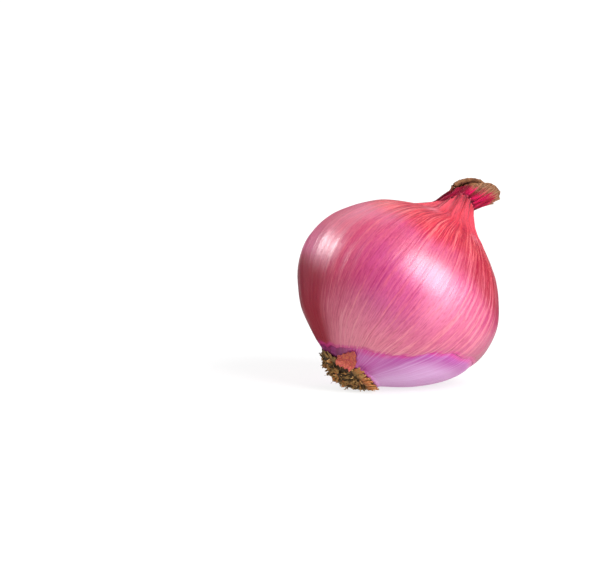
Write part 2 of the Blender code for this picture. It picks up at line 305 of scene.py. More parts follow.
def new_piece(name, points, faces, **attributes):
    """A mesh object, its faces turned outwards, from points in mm in the bulb's frame.

    An attribute is a grid of vectors or, with fewer than three axes, of plain values. One that covers a row of
    the points, or one face of a shell, is repeated over the rest.
    """
    mesh = bpy.data.meshes.new(name)
    mesh.from_pydata(lean_over(points).tolist(), [], [list(map(int, face)) for face in faces])
    for key, grid in attributes.items():
        plain = np.ndim(grid) < 3
        layer = mesh.attributes.new(key, "FLOAT" if plain else "FLOAT_VECTOR", "POINT")
        numbers = np.resize(np.asarray(grid, np.float32), len(mesh.vertices) * (1 if plain else 3))
        layer.data.foreach_set("value" if plain else "vector", numbers)
    shape = bmesh.new()
    shape.from_mesh(mesh)
    bmesh.ops.recalc_face_normals(shape, faces=shape.faces)
    shape.to_mesh(mesh)
    shape.free()
    mesh.shade_smooth()
    mesh.update()
    return new_object(name, mesh)


# ---------------- outer skin


def make_skin():
    """The papery skin as one closed thin shell: up its outer face, over the collar and down inside."""
    theta = all_round(SKIN_COLUMNS)
    low, high = OUTLINE.run_at(torn_edge(theta)), OUTLINE.run_at(collar_top(theta))
    outer_share, inner_share = np.linspace(0, 1, SKIN_ROWS), np.linspace(1, 0, SKIN_INNER_ROWS)
    outer_share = outer_share - 0.06 * np.sin(2 * math.pi * outer_share)
    runs = low + (high - low) * np.concatenate([outer_share, inner_share])[:, None]
    above_edge, below_collar = (runs - low) * OUTLINE.length, (high - runs) * OUTLINE.length

    # The torn edge lies down on the flesh, and the shell thins towards both its edges.
    thinner = SKIN_THICK_MM - EDGE_THICK_MM
    inward = thinner * falloff(above_edge / EDGE_REACH_MM)
    full = smoothstep(above_edge / EDGE_REACH_MM) * smoothstep(below_collar / EDGE_REACH_MM)
    inward[SKIN_ROWS:] += (EDGE_THICK_MM + thinner * full)[SKIN_ROWS:]

    angles = np.broadcast_to(theta, runs.shape)
    heights = OUTLINE.at(runs)[0]
    return new_piece(
        "outer_skin_fine",
        on_skin(theta, runs, inward),
        grid_faces(SKIN_ROWS + SKIN_INNER_ROWS, SKIN_COLUMNS, close_rows=True),
        around=vectors(np.cos(angles), np.sin(angles), heights / BULB_WIDTH_MM),
        **skin_pigment(angles, heights, above_edge),
    )


def skin_pigment(angles, heights, above_edge):
    """The skin's colour, with painted highlights and painted shade in it, and the colour, strength and width of
    its veins.
    """

    def at(*place):
        return bump_round(angles, *place)

    wander = 3.0 * ripples(angles, heights / 25, 12, range(2, 8), turn=2.0)
    patches = ripples(angles, heights / 18, 13, range(2, 12), turn=2.5)
    up = heights + wander
    top = rise(up, 48, 12)
    right, shoulder, left, right_side_shade = at(-66, 46, 6), at(-66, 62, 12), at(178, 46, 12), at(-20, 42)
    low = falloff((heights + 0.5 * wander - 20) / 8)
    flank = at(-200, 46, 27) * low
    hem = at(-186, 46, 10) * fall(heights, 7, 10)
    painted_glint = (at(-150, 20) + at(-76, 16)) * band(heights, 64.4, 1.3)
    rim = rise(heights, 72, 4) * smoothstep(0.5 + patches)
    crease_shade = tucks(angles, heights)

    pigment = painted(
        angles.shape, (172, 50, 114),
        (0.35 * smoothstep(0.5 + 0.5 * patches), (178, 60, 124)),
        (0.95 * fall(up, 8, 17), (216, 112, 134)),
        (0.75 * right * fall(up, 42, 8), (170, 50, 98)),
        # Painted highlight: two pale pink patches widen the front softbox's highlight over the belly.
        (0.6 * at(-93, 17) * band(up, 31, 7), (210, 124, 156)),
        (0.35 * at(-126, 16) * band(up, 46, 6), (222, 134, 164)),
        (0.5 * right * fall(up, 34, 8), (192, 84, 126)),
        (0.6 * band(up, 47, 6) * (1 - shoulder), (182, 66, 100)),
        (0.8 * left * band(up, 40, 11), (172, 26, 76)),
        (0.85 * at(-160, 34) * band(up, 22, 13), (168, 14, 64)),
        # Red gathers towards the neck, and is darkest on its right.
        (0.9 * rise(up, 50, 8), (196, 28, 44)),
        (0.95 * shoulder * rise(up, 41, 8), (138, 0, 28)),
        (0.5 * band(heights, 62.5, 2.5) * at(-122, 50), (164, 14, 42)),
        (0.95 * rise(heights, 62.5, 4), (184, 4, 40)),
        # Painted shade darkens the right side towards its outline.
        (0.85 * right_side_shade, (112, 8, 44)),
        # Painted shade darkens the far flank to dark red, and to brown at its hem.
        (flank, (146, 10, 44)),
        (at(-204, 36, 4) * low, (116, 4, 34)),
        (0.85 * hem, (142, 28, 38)),
        # A magenta line follows the torn edge, a pale painted highlight lies where the skin flares into the
        # neck, and painted shade darkens the collar's creases.
        (0.9 * fall(above_edge, 0.8, 1.2), (194, 14, 124)),
        (0.5 * painted_glint, (232, 160, 180)),
        (0.8 * rim, (158, 0, 28)),
        (0.9 * crease_shade, (84, 0, 22)),
    )  # fmt: skip
    vein_colour = painted(
        angles.shape, (206, 92, 106),
        (right, (208, 118, 134)),
        (fall(up, 10, 20), (216, 128, 142)),
        (rise(up, 46, 14), (230, 110, 112)),
        (rise(heights, 62, 6), (216, 54, 72)),
        # The veins take the same painted shade on the right side, on the far flank and in the collar's creases.
        (0.85 * right_side_shade, (172, 44, 66)),
        (np.maximum(flank, 0.8 * hem), (164, 48, 62)),
        (crease_shade, (84, 0, 22)),
    )  # fmt: skip
    # Fewer veins show where painted shade darkens the far flank.
    strength = 0.62 + 0.20 * right + 0.16 * top - 0.45 * flank + 0.2 * fall(up, 12, 14)
    width = 0.20 + 0.38 * right * (1 - top) + 0.26 * fall(up, 8, 20) + 0.14 * top
    return {
        "pigment": pigment,
        "vein_colour": vein_colour,
        "vein": vectors(strength, width, top),
        "neck": rise(heights, 63, 7),
    }


# ---------------- flesh


def flesh_pigment(angles, heights, below):
    """The bare flesh's colour: magenta beside the torn skin, lilac below, with painted shade darkening its far
    side.
    """
    wander = ripples(angles, heights / 20, 23, range(3, 14), turn=2.0)
    pale = bump_round(angles, -56, 44) * rise(below, 3, 7) * fall(heights, 19, 8)
    dark = bump_round(angles, -190, 74, 38) * smoothstep((below + 0.5) / 0.8)
    return painted(
        angles.shape, (166, 52, 146),
        ((0.8 + 0.15 * wander) * pale, (208, 162, 206)),
        (0.6 * bump_round(angles, -108, 34), (188, 84, 156)),
        (0.95 * fall(below, 0.6, 1.7), (194, 18, 126)),
        # Painted shade darkens the far side.
        (dark * (0.9 + 0.1 * wander), (100, 4, 62)),
        (0.6 * fall(heights, 0.8, 1.3) * (1 - dark), (186, 62, 140)),
    )  # fmt: skip


def make_flesh():
    """The fleshy bulb, which shows where the skin is gone."""
    theta = all_round(FLESH_COLUMNS)
    share = np.linspace(0.002, 1, FLESH_ROWS)[:, None] ** 1.15
    run = share * OUTLINE.run_at(FLESH_TOP_MM) + 0 * theta
    height = OUTLINE.at(run)[0]
    below = torn_edge(theta) - height
    inset = FLESH_INSET_MM - 0.22 * rise(below, 0.3, 3.0) + 0.5 * gathering(height)
    fine = 0.05 * ripples(theta, height / 20, 21, range(20, 80), fade=0.4) * rise(height, 1, 5)
    dents = 0.12 * ripples(theta, height / 9, 22, range(3, 9), turn=2.5) * rise(height, 1, 8)
    points = on_skin(theta, run, inset - fine - dents * smoothstep(below / 6), fine=False)
    risen = np.maximum(0, height - FLESH_DOME_FROM_MM) / FLESH_DOME_MM
    points[..., :2] *= np.sqrt(np.clip(1 - risen**2, 0, 1))[..., None]
    angles = np.broadcast_to(theta, run.shape)
    return new_piece(
        "bulb_flesh",
        points,
        tube_faces(FLESH_ROWS, FLESH_COLUMNS),
        around=vectors(np.cos(angles), np.sin(angles), height / BULB_WIDTH_MM),
        pigment=flesh_pigment(angles, height, below),
        stain=bump_round(angles, -190, 66, 36),
    )


# ---------------- neck

# The neck leaves' two edges from their foot to the rim, as (height, across) in mm, across towards NECK_WIDTH.
NECK_LEFT_MM = ((66.6, -10.7), (68.2, -9.6), (70.4, -8.1), (73.0, -7.2), (76.4, -5.7), (78.9, -5.6))
NECK_RIGHT_MM = ((66.6, 6.4), (70.5, 4.9), (74.8, 5.2), (77.8, 7.1), (81.2, 9.2), (84.4, 11.2))

# Half the leaves' depth from front to back, as (share of the climb, mm).
NECK_HALF_DEPTH_MM = ((0, 7.8), (0.3, 5.8), (0.55, 4.4), (0.8, 3.2), (1, 2.2))

# The rims of the leaf in front and of the one behind it, as (across, height) in mm.
FRONT_RIM_MM = (
    (-5.6, 76.6), (-4.3, 78.1), (-2.6, 80.8), (-0.6, 83.0), (1.4, 84.4), (2.6, 85.4), (3.7, 86.2),
    (5.2, 86.9), (7.7, 87.3), (9.7, 86.5), (11.3, 84.2),
)  # fmt: skip
BACK_RIM_MM = (
    (-5.6, 78.9), (-5.3, 80.3), (-4.6, 81.9), (-2.8, 84.1), (-1.0, 85.6), (1.1, 86.6), (2.5, 86.9),
    (3.7, 86.7), (6.7, 86.0), (9.7, 85.1), (11.3, 84.2),
)  # fmt: skip

# How far down from its rim a leaf has dried to tan, as (across, mm).
FRONT_DRY_MM = ((-3, 0.1), (-1, 0.8), (1, 2.8), (3.6, 5.0), (7.4, 5.0), (9, 4.0), (10, 2.4), (11.3, 1.3))
BACK_DRY_MM = ((-6.0, 3.6), (11.0, 3.6))

# The middle of the back leaf's rolled rim, as (across, height) in mm.
ROLL_MM = (
    (-5.4, 78.7), (-5.0, 79.8), (-4.2, 81.2), (-3.3, 82.4), (-2.2, 83.5), (-1.1, 84.4), (0.2, 85.1),
    (1.6, 85.7), (3.0, 86.0), (4.4, 85.9),
)  # fmt: skip
ROLL_RADIUS_MM = 0.88
ROLL_SIDES = 36

LEAF_COLUMNS = 200
LEAF_ROWS = 56


def from_neck(across, away, height):
    """Points in the bulb's frame, from how far across the flattened neck and away behind it they are."""
    x = across * math.cos(NECK_WIDTH) - away * math.sin(NECK_WIDTH)
    y = across * math.sin(NECK_WIDTH) + away * math.cos(NECK_WIDTH)
    return vectors(x, y, height)


def between(side, left, right):
    """The left value at side -1 and the right one at side 1."""
    return left * (1 - side) / 2 + right * (1 + side) / 2


def rim_across(side):
    """How far across the neck's rim this side, from -1 to 1, is."""
    return between(side, NECK_LEFT_MM[-1][1], NECK_RIGHT_MM[-1][1])


def along(table, share):
    """The pair, at this share from 0 to 1, of a list of pairs."""
    steps = np.linspace(0, 1, len(table))
    return [np.interp(share, steps, row) for row in zip(*table)]


def in_neck(phi, climb, rim, inside):
    """Points of a flattened neck leaf in mm, phi round it and climb from its foot to its rim."""
    left_height, left = along(NECK_LEFT_MM, climb)
    right_height, right = along(NECK_RIGHT_MM, climb)
    fold = smoothstep(climb * 1.6 - 0.1)
    pleats = 0.09 * np.cos(11 * phi + 1.2 * np.sin(2 * phi) + 1.5 * climb)
    pleats = pleats + 0.06 * ripples(phi, climb, 31, range(15, 42), 1.0)
    side = np.cos(phi)
    depth = table_at(NECK_HALF_DEPTH_MM, climb) * (1 + 1.6 * pleats * fold) - inside
    edge = 1 + 0.25 * pleats * fold - inside / 9
    lift = table_at(rim, rim_across(side)) - between(side, NECK_LEFT_MM[-1][0], NECK_RIGHT_MM[-1][0])
    height = between(side, left_height, right_height) + lift * climb**2.2
    across = (left + right) / 2 + side * edge * (right - left) / 2
    return from_neck(across, np.sin(phi) * depth, height)


def sheet_normals(points):
    """Unit normals of a grid of points."""
    normals = np.cross(np.gradient(points, axis=1), np.gradient(points, axis=0))
    return normals / np.maximum(1e-9, np.linalg.norm(normals, axis=-1, keepdims=True))


def shell(points, thickness):
    """(points, faces) of a closed thin shell behind a grid of points."""
    rows, columns = points.shape[:2]
    back = points - sheet_normals(points) * thickness[..., None]
    count = rows * columns
    front_faces = grid_faces(rows, columns, close_columns=False)
    grid = np.arange(count).reshape(rows, columns)
    borders = (grid[0], grid[-1][::-1], grid[:, -1], grid[:, 0][::-1])
    walls = [np.stack([b[1:], b[:-1], b[:-1] + count, b[1:] + count], axis=-1) for b in borders]
    faces = np.concatenate([front_faces, front_faces[:, ::-1] + count, *walls])
    return np.concatenate([points.reshape(-1, 3), back.reshape(-1, 3)]), faces


def neck_leaf(name, start, end, rim, dry, ragged, thick_foot, thick_rim, seed, inside=0.0):
    """One dried leaf of the neck, from phi start to end, with how near its dried rim is for the material."""
    phi = np.linspace(start, end, LEAF_COLUMNS)[None, :]
    climb = np.linspace(0, 1, LEAF_ROWS)[:, None] ** 0.9
    whole = in_neck(phi, climb, rim, inside)
    lower = in_neck(phi, climb * 0.94, rim, inside)

    # The rim is torn, but its corner on the right is nearly whole.
    corner = smoothstep((np.cos(phi) - 0.75) / 0.2)
    nicks = np.maximum(0, ripples(phi, 0.0, seed + 1, range(40, 110), fade=0.1))
    tears = ripples(phi, 0.0, seed, range(6, 30), fade=0.35) + 0.8 * nicks
    shorter = ragged * (0.35 - 0.5 * tears * (1 - 0.9 * corner))
    step = np.linalg.norm(whole[-1] - lower[-1], axis=-1, keepdims=True)
    near_top = rise(climb[..., None], 0.55, 0.45)
    points = whole + (lower - whole) * (shorter[..., None] / np.maximum(0.2, step)) * near_top

    # Towards the rim it is thicker and lumpy.
    lengths = np.linalg.norm(np.diff(points, axis=0), axis=-1)
    from_rim = np.concatenate([np.cumsum(lengths[::-1], axis=0)[::-1], np.zeros((1, LEAF_COLUMNS))])
    near_rim = np.exp(-from_rim / 0.9) * (1 - 0.8 * corner)
    lumps = 0.5 + 0.5 * ripples(phi, climb * 3, seed + 2, range(8, 40), 1.5)
    points = points + sheet_normals(points) * (0.35 * thick_rim * near_rim * lumps)[..., None]
    thickness = thick_foot + (thick_rim - thick_foot) * near_rim
    side_edges = smoothstep(np.minimum(phi - start, end - phi) / 0.12)
    verts, faces = shell(points, thickness * (0.3 + 0.7 * side_edges))

    across = rim_across(np.cos(phi))
    dried = table_at(dry, across) * (1 + 0.25 * ripples(phi, 0.0, seed + 3, range(5, 60), fade=0.2))
    # The leaf gets painted shade just above the collar's top, where it meets the skin.
    above_collar = points[..., 2] - collar_top(np.arctan2(points[..., 1], points[..., 0]))
    return new_piece(
        name, verts, faces,
        crevice=fall(above_collar, 0.2, 2.0),
        green=np.minimum(3.0, from_rim / dried),
        right=smoothstep((across + 1) / 4),
        fan=vectors(np.cos(phi), np.sin(phi), climb),
    )  # fmt: skip


def lowered(rim, drop):
    return [(across, height - drop) for across, height in rim]


def make_neck():
    pi, front_heart, back_heart = math.pi, lowered(FRONT_RIM_MM, 1.9), lowered(BACK_RIM_MM, 2.6)
    return (
        neck_leaf("neck_front_leaf", -pi - 0.5, 0.5, FRONT_RIM_MM, FRONT_DRY_MM, 0.16, 0.4, 0.5, 41),
        neck_leaf("neck_back_leaf", -0.35, pi + 0.35, BACK_RIM_MM, BACK_DRY_MM, 0.22, 0.4, 0.8, 51),
        neck_leaf("neck_inner_leaf", -pi - 0.3, 0.3, front_heart, BACK_DRY_MM, 0.9, 0.35, 0.5, 61, 1.0),
        neck_leaf("neck_core_leaf", -0.2, pi + 0.2, back_heart, BACK_DRY_MM, 0.9, 0.35, 0.6, 71, 0.9),
        make_roll(),
    )


def make_roll():
    """The back leaf's rim where it has curled over towards the front and dried, as a fibrous roll."""
    middle = catmull_rom(ROLL_MM, 14)
    share = np.linspace(0, 1, len(middle))[:, None]
    turn = np.linspace(0, 2 * math.pi, ROLL_SIDES, endpoint=False)[None, :]
    heading = np.gradient(middle, axis=0)
    heading /= np.linalg.norm(heading, axis=1)[:, None]
    ends = np.sqrt(smoothstep(share / 0.07 + 0.05)) * (1 - 0.75 * rise(share, 0.72, 0.28))
    # The roll's wrapped layers show as ridges along it, and its fibres as finer ones.
    lumps = 0.10 * np.cos(3 * turn + 5 * share) + 0.07 * np.cos(7 * turn - 9 * share)
    lumps = lumps + 0.05 * np.cos(13 * turn + 21 * share)
    knots = 0.07 * np.cos(31 * share + turn) + 0.05 * np.cos(57 * share - 2 * turn)
    radius = ROLL_RADIUS_MM * ends * (1 + lumps + knots)
    out, away = radius * np.cos(turn), 0.9 * radius * np.sin(turn) - 0.7 + 1.6 * share
    return new_piece(
        "neck_rolled_rim",
        from_neck(middle[:, :1] - heading[:, 1:] * out, away, middle[:, 1:] + heading[:, :1] * out),
        tube_faces(len(middle), ROLL_SIDES),
        # The roll gets painted shade on its lower side, and a lighter tan on its upper side as painted light.
        crevice=0.75 * smoothstep((-np.cos(turn) - 0.15) / 0.7),
        green=0.0,
        right=0.35 + 0.35 * np.cos(turn),
        fan=vectors(share * 0.5, 0.25 * np.cos(turn), 0.25 * np.sin(turn)),
    )


# ---------------- root

ROOT_RADIUS_MM = 11.4
ROOT_DEPTH_MM = 4.1
ROOT_FIBRES = 430
ROOT_HAIRS = 90
RIM_FLAKES = 64
FLAKE_GRID = 7

# The root plate's underside takes this share of its outline, and the rest curls in over its rim.
UNDERSIDE = 0.72

# The mat is thinner on this side, and bare where the scrap of skin hangs over it.
ROOT_THIN_SIDE = math.radians(153)
SCRAP_DEG = -130
SCRAP_HALF_WIDTH_DEG = 19


class Batch:
    """Points, faces and attributes of many small closed bodies that end up in one mesh."""

    def __init__(self):
        self.points, self.faces, self.attributes, self.count = [], [], {}, 0

    def add(self, points, faces, **attributes):
        self.faces += [[int(i) + self.count for i in face] for face in faces]
        self.points.append(points)
        for key, values in attributes.items():
            self.attributes.setdefault(key, []).append(np.resize(np.asarray(values, float), len(points)))
        self.count += len(points)

    def piece(self, name):
        attributes = {key: np.concatenate(rows) for key, rows in self.attributes.items()}
        return new_piece(name, np.concatenate(self.points), self.faces, **attributes)


def tube(path, radii, sides, squash=1.0):
    """(points, faces) of a closed tube along a few points, with its radius at each."""
    path = np.array(path, float)
    heading = np.gradient(path, axis=0)
    heading /= np.linalg.norm(heading, axis=1)[:, None]
    aside = np.cross(heading, (0.31, 0.55, 0.78))
    aside /= np.linalg.norm(aside, axis=1)[:, None]
    upward = np.cross(heading, aside)
    turn = np.linspace(0, 2 * math.pi, sides, endpoint=False)[None, :, None]
    rings = path[:, None] + np.array(radii)[:, None, None] * (
        np.cos(turn) * aside[:, None] + squash * np.sin(turn) * upward[:, None]
    )
    return rings.reshape(-1, 3), tube_faces(len(path), sides)


def root_dome(radius):
    """The height of the root plate's underside at this distance from the axis."""
    return -ROOT_DEPTH_MM * (1 - (radius / ROOT_RADIUS_MM) ** 2)


def on_root(theta, radius):
    """(outward, around, normal, place) at one point of the root plate's underside."""
    outward = Vector((math.cos(theta), math.sin(theta), 0))
    around = Vector((-math.sin(theta), math.cos(theta), 0))
    slope = 2 * ROOT_DEPTH_MM * radius / ROOT_RADIUS_MM**2
    normal = (outward * slope - Vector((0, 0, 1))).normalized()
    return outward, around, normal, outward * radius + Vector((0, 0, root_dome(radius)))


def bent_path(place, heading, bend, length, steps):
    """Points of a root that turns a little by the same bend at every step."""
    path = [place]
    for _ in range(steps):
        heading = (heading + bend).normalized()
        path.append(path[-1] + heading * length / steps)
    return path


def under_scrap(theta_deg):
    """Whether the scrap of skin hangs over the plate's rim at this angle round the bulb."""
    return abs((theta_deg - SCRAP_DEG + 180) % 360 - 180) < SCRAP_HALF_WIDTH_DEG


def add_root_core(batch):
    """The dark plate that the roots grow from."""
    columns, rows = 96, 44
    theta = all_round(columns)
    share = np.linspace(0, 1, rows)[:, None]
    below, over = share <= UNDERSIDE, (share - UNDERSIDE) / (1 - UNDERSIDE)
    radius = ROOT_RADIUS_MM * np.where(below, np.sin(0.5 * math.pi * share / UNDERSIDE), 1 - 0.9 * over)
    height = np.where(below, root_dome(radius), 0.9 * smoothstep(over))
    lumps = ripples(theta, share * 9, 81, range(5, 26), 2.0)
    lumps = lumps * smoothstep(share * 6) * smoothstep((1 - share) * 5)
    radius = radius * 0.985 + 0.30 * lumps
    height = height - 0.35 * lumps * (share < UNDERSIDE)
    points = vectors(radius * np.cos(theta), radius * np.sin(theta), height)
    batch.add(points.reshape(-1, 3), tube_faces(rows, columns), tint=0.12, tip=0.1)


def add_root_fibres(batch, rng):
    """Short dry root stubs, bent every way, over the whole plate."""
    golden = math.pi * (3 - math.sqrt(5))
    steps, sides = 5, 8
    for i in range(ROOT_FIBRES):
        theta = i * golden + rng.uniform(-0.2, 0.2)
        radius = (ROOT_RADIUS_MM - 0.1) * math.sqrt((i + 0.5) / ROOT_FIBRES)
        radius *= 1 - 0.09 * max(0.0, math.cos(theta - ROOT_THIN_SIDE))
        outward, around, normal, place = on_root(theta, radius)
        thick = rng.uniform(0.30, 0.62) * (1.25 if rng.random() < 0.25 else 1.0)
        length = rng.uniform(1.1, 2.5) * (1.25 if rng.random() < 0.12 else 1.0)
        if under_scrap(math.degrees(theta)) and radius > 8.0:
            thick, length = 0.3, 0.4
        elif radius > 8.5:
            length *= 0.8
        heading = normal * 0.8 + outward * rng.uniform(-0.6, 0.4) + around * rng.uniform(-0.9, 0.9)
        bend = outward * rng.uniform(-0.6, 0.4) + around * rng.uniform(-0.8, 0.8)
        bend = bend - normal * rng.uniform(0.1, 0.7)
        path = bent_path(place - normal * 0.9, heading.normalized(), bend * 0.32, length + 0.7, steps)
        radii = [thick * (1.1 - 0.5 * k / steps) * rng.uniform(0.75, 1.2) for k in range(steps + 1)]
        radii[-1] *= rng.uniform(0.4, 0.95)
        points, faces = tube(path, radii, sides, squash=rng.uniform(0.35, 0.85))
        batch.add(points, faces, tint=rng.random(), tip=np.repeat(np.linspace(0, 1, steps + 1), sides))


def add_root_hairs(batch, rng):
    """Thin wiry roots that lie across the mat and stick out at its edge."""
    steps, sides = 6, 5
    for _ in range(ROOT_HAIRS):
        theta = rng.uniform(-math.pi, math.pi)
        radius = ROOT_RADIUS_MM * math.sqrt(rng.uniform(0.05, 1.05))
        outward, around, normal, place = on_root(theta, radius)
        place = place + normal * rng.uniform(0.5, 1.2)
        heading = normal * rng.uniform(-0.1, 0.5) + outward * rng.uniform(-0.8, 1.0)
        heading = heading + around * rng.uniform(-1, 1)
        bend = Vector([rng.uniform(-1, 1) for _ in range(3)])
        length = rng.uniform(1.2, 2.8)
        bare = under_scrap(math.degrees(theta)) or math.cos(theta - ROOT_THIN_SIDE) > 0.6
        if radius > 7.5 and bare:
            continue
        path = bent_path(place, heading.normalized(), bend * 0.16, length, steps)
        thick = rng.uniform(0.07, 0.15)
        points, faces = tube(path, [thick * (1 - 0.5 * k / steps) for k in range(steps + 1)], sides)
        batch.add(points, faces, tint=rng.uniform(0.3, 1.0), tip=0.8)


def add_flake(batch, theta_deg, foot, length, half_width, lift, curl, skew, tint, point=0.4):
    """A dry leaf base at the plate's rim: foot is mm below the rim, and it stands up along the flank."""
    across = np.linspace(-1, 1, FLAKE_GRID)[None, :]
    climb = np.linspace(0, 1, FLAKE_GRID)[:, None]
    width = half_width * (1 - (1 - point) * climb**1.5) * (1 + 0.12 * np.sin(9 * climb + theta_deg))
    flank, away = np.array((0.80, 0, 0.60)), np.array((0.60, 0, -0.80))
    out = lift + curl * climb**2 - 0.35 * half_width * across**2
    reach = climb * length * (1 + 0.10 * np.cos(5 * across + theta_deg))
    points = np.array((ROOT_RADIUS_MM + 0.1, 0, 0.1)) + flank * (reach - foot)[..., None]
    points = points + away * out[..., None] + np.array((0, 1, 0)) * (across * width + skew * climb)[..., None]
    turn = np.array(Matrix.Rotation(math.radians(theta_deg), 3, "Z"))
    verts, faces = shell(points @ turn.T, np.full(points.shape[:2], 0.22))
    batch.add(verts, faces, tint=tint, tip=np.repeat(climb, FLAKE_GRID))


# Larger flakes on the side that shows: a straw-coloured one beside the scrap, then rusty pointed ones.
# (degrees round, foot, length, half width, lift, curl, skew, shade, how blunt)
FRONT_FLAKES = (
    (-103, 1.6, 4.0, 1.8, 0.6, 0.2, 0.3, 0.80, 0.85),
    (-94, 1.5, 3.4, 1.3, 0.9, 0.4, 0.2, 0.78, 0.4),
    (-86, 1.8, 4.2, 1.2, 0.8, 0.5, 0.5, 0.90, 0.15),
    (-76, 2.0, 4.0, 1.1, 1.0, 0.5, 0.2, 0.88, 0.10),
    (-66, 2.0, 3.6, 1.0, 0.9, 0.4, 0.6, 0.90, 0.10),
    (-56, 2.2, 3.6, 0.9, 1.0, 0.3, 0.2, 0.86, 0.12),
    (-46, 2.4, 3.4, 0.8, 1.0, 0.2, -0.4, 0.90, 0.10),
)  # fmt: skip


def make_root():
    """The mat of roots, and the flakes round its rim."""
    roots, flakes = Batch(), Batch()
    rng = random.Random(17)
    add_root_core(roots)
    add_root_fibres(roots, rng)
    add_root_hairs(roots, rng)
    for i in range(RIM_FLAKES):
        theta_deg = 360 * (i + rng.uniform(-0.3, 0.3)) / RIM_FLAKES
        size = 0.4 if under_scrap(theta_deg) else 1.0
        add_flake(
            flakes, theta_deg, rng.uniform(0.9, 1.9), size * rng.uniform(1.4, 2.8), rng.uniform(0.5, 1.1),
            size * rng.uniform(0.1, 0.5), rng.uniform(-0.4, 0.7), rng.uniform(-0.6, 0.6), rng.uniform(0.0, 1.0),
            rng.uniform(0.1, 0.8),
        )  # fmt: skip
    for row in FRONT_FLAKES:
        add_flake(flakes, *row)
    return roots.piece("root_mat"), flakes.piece("root_rim_flakes")


# ---------------- scrap of an older skin

SCRAP_COLUMNS = 44
SCRAP_ROWS = 36
SCRAP_THICK_MM = 0.16
PLATE_RIM_MM = 0.8


def on_flank(theta, height, inward):
    """Points on the bare flank, carried on over the rim of the root plate below it."""
    above = on_skin(theta, OUTLINE.run_at(np.maximum(PLATE_RIM_MM, height)), inward, fine=False)
    drop = np.minimum(0.0, height - PLATE_RIM_MM)
    radial = vectors(np.cos(theta), np.sin(theta), 0 * theta)
    return above + radial * (0.25 * drop)[..., None] + np.array((0, 0, 1.0)) * drop[..., None]


def make_scrap():
    """A scrap of an older, dried skin that clings to the flank and hangs over the root plate's rim."""
    u = np.linspace(0, 1, SCRAP_COLUMNS)[None, :]
    v = np.linspace(0, 1, SCRAP_ROWS)[:, None]
    left = np.interp(v, (0, 0.3, 1), (-141, -147, -146)) - 0.6 * np.sin(17 * v)
    right = np.interp(v, (0, 0.25, 0.5, 1), (-117, -112.5, -112, -121)) + 0.5 * np.sin(23 * v)
    theta_deg = left + (right - left) * u + 0.5 * np.sin(31 * v) * (np.abs(u - 0.5) * 2) ** 6
    bottom = -1.3 + 0.5 * u + 0.25 * np.sin(17 * u) + 0.35 * np.abs(np.sin(31 * u))
    top = 1.3 + 3.7 * u + 0.14 * np.sin(23 * u) + 0.10 * np.sin(61 * u)
    height = bottom + (top - bottom) * v
    crinkle = 0.03 * np.sin(40 * u + 3 * v) + 0.04 * np.sin(19 * u - 9 * v) + 0.015 * np.sin(27 * v + 8 * u)
    lift = 0.18 * v**6 + 0.22 * u**8 + 0.1 * (1 - u) ** 6 + 0.55 * smoothstep((0.9 - height) / 2.0)
    outer = on_flank(np.radians(theta_deg), height, -(0.14 + crinkle + lift))
    verts, faces = shell(outer, np.full((SCRAP_ROWS, SCRAP_COLUMNS), SCRAP_THICK_MM))
    return new_piece("skin_scrap_fine", verts, faces, grain=vectors(u, v, 0.0))


# ---------------- materials


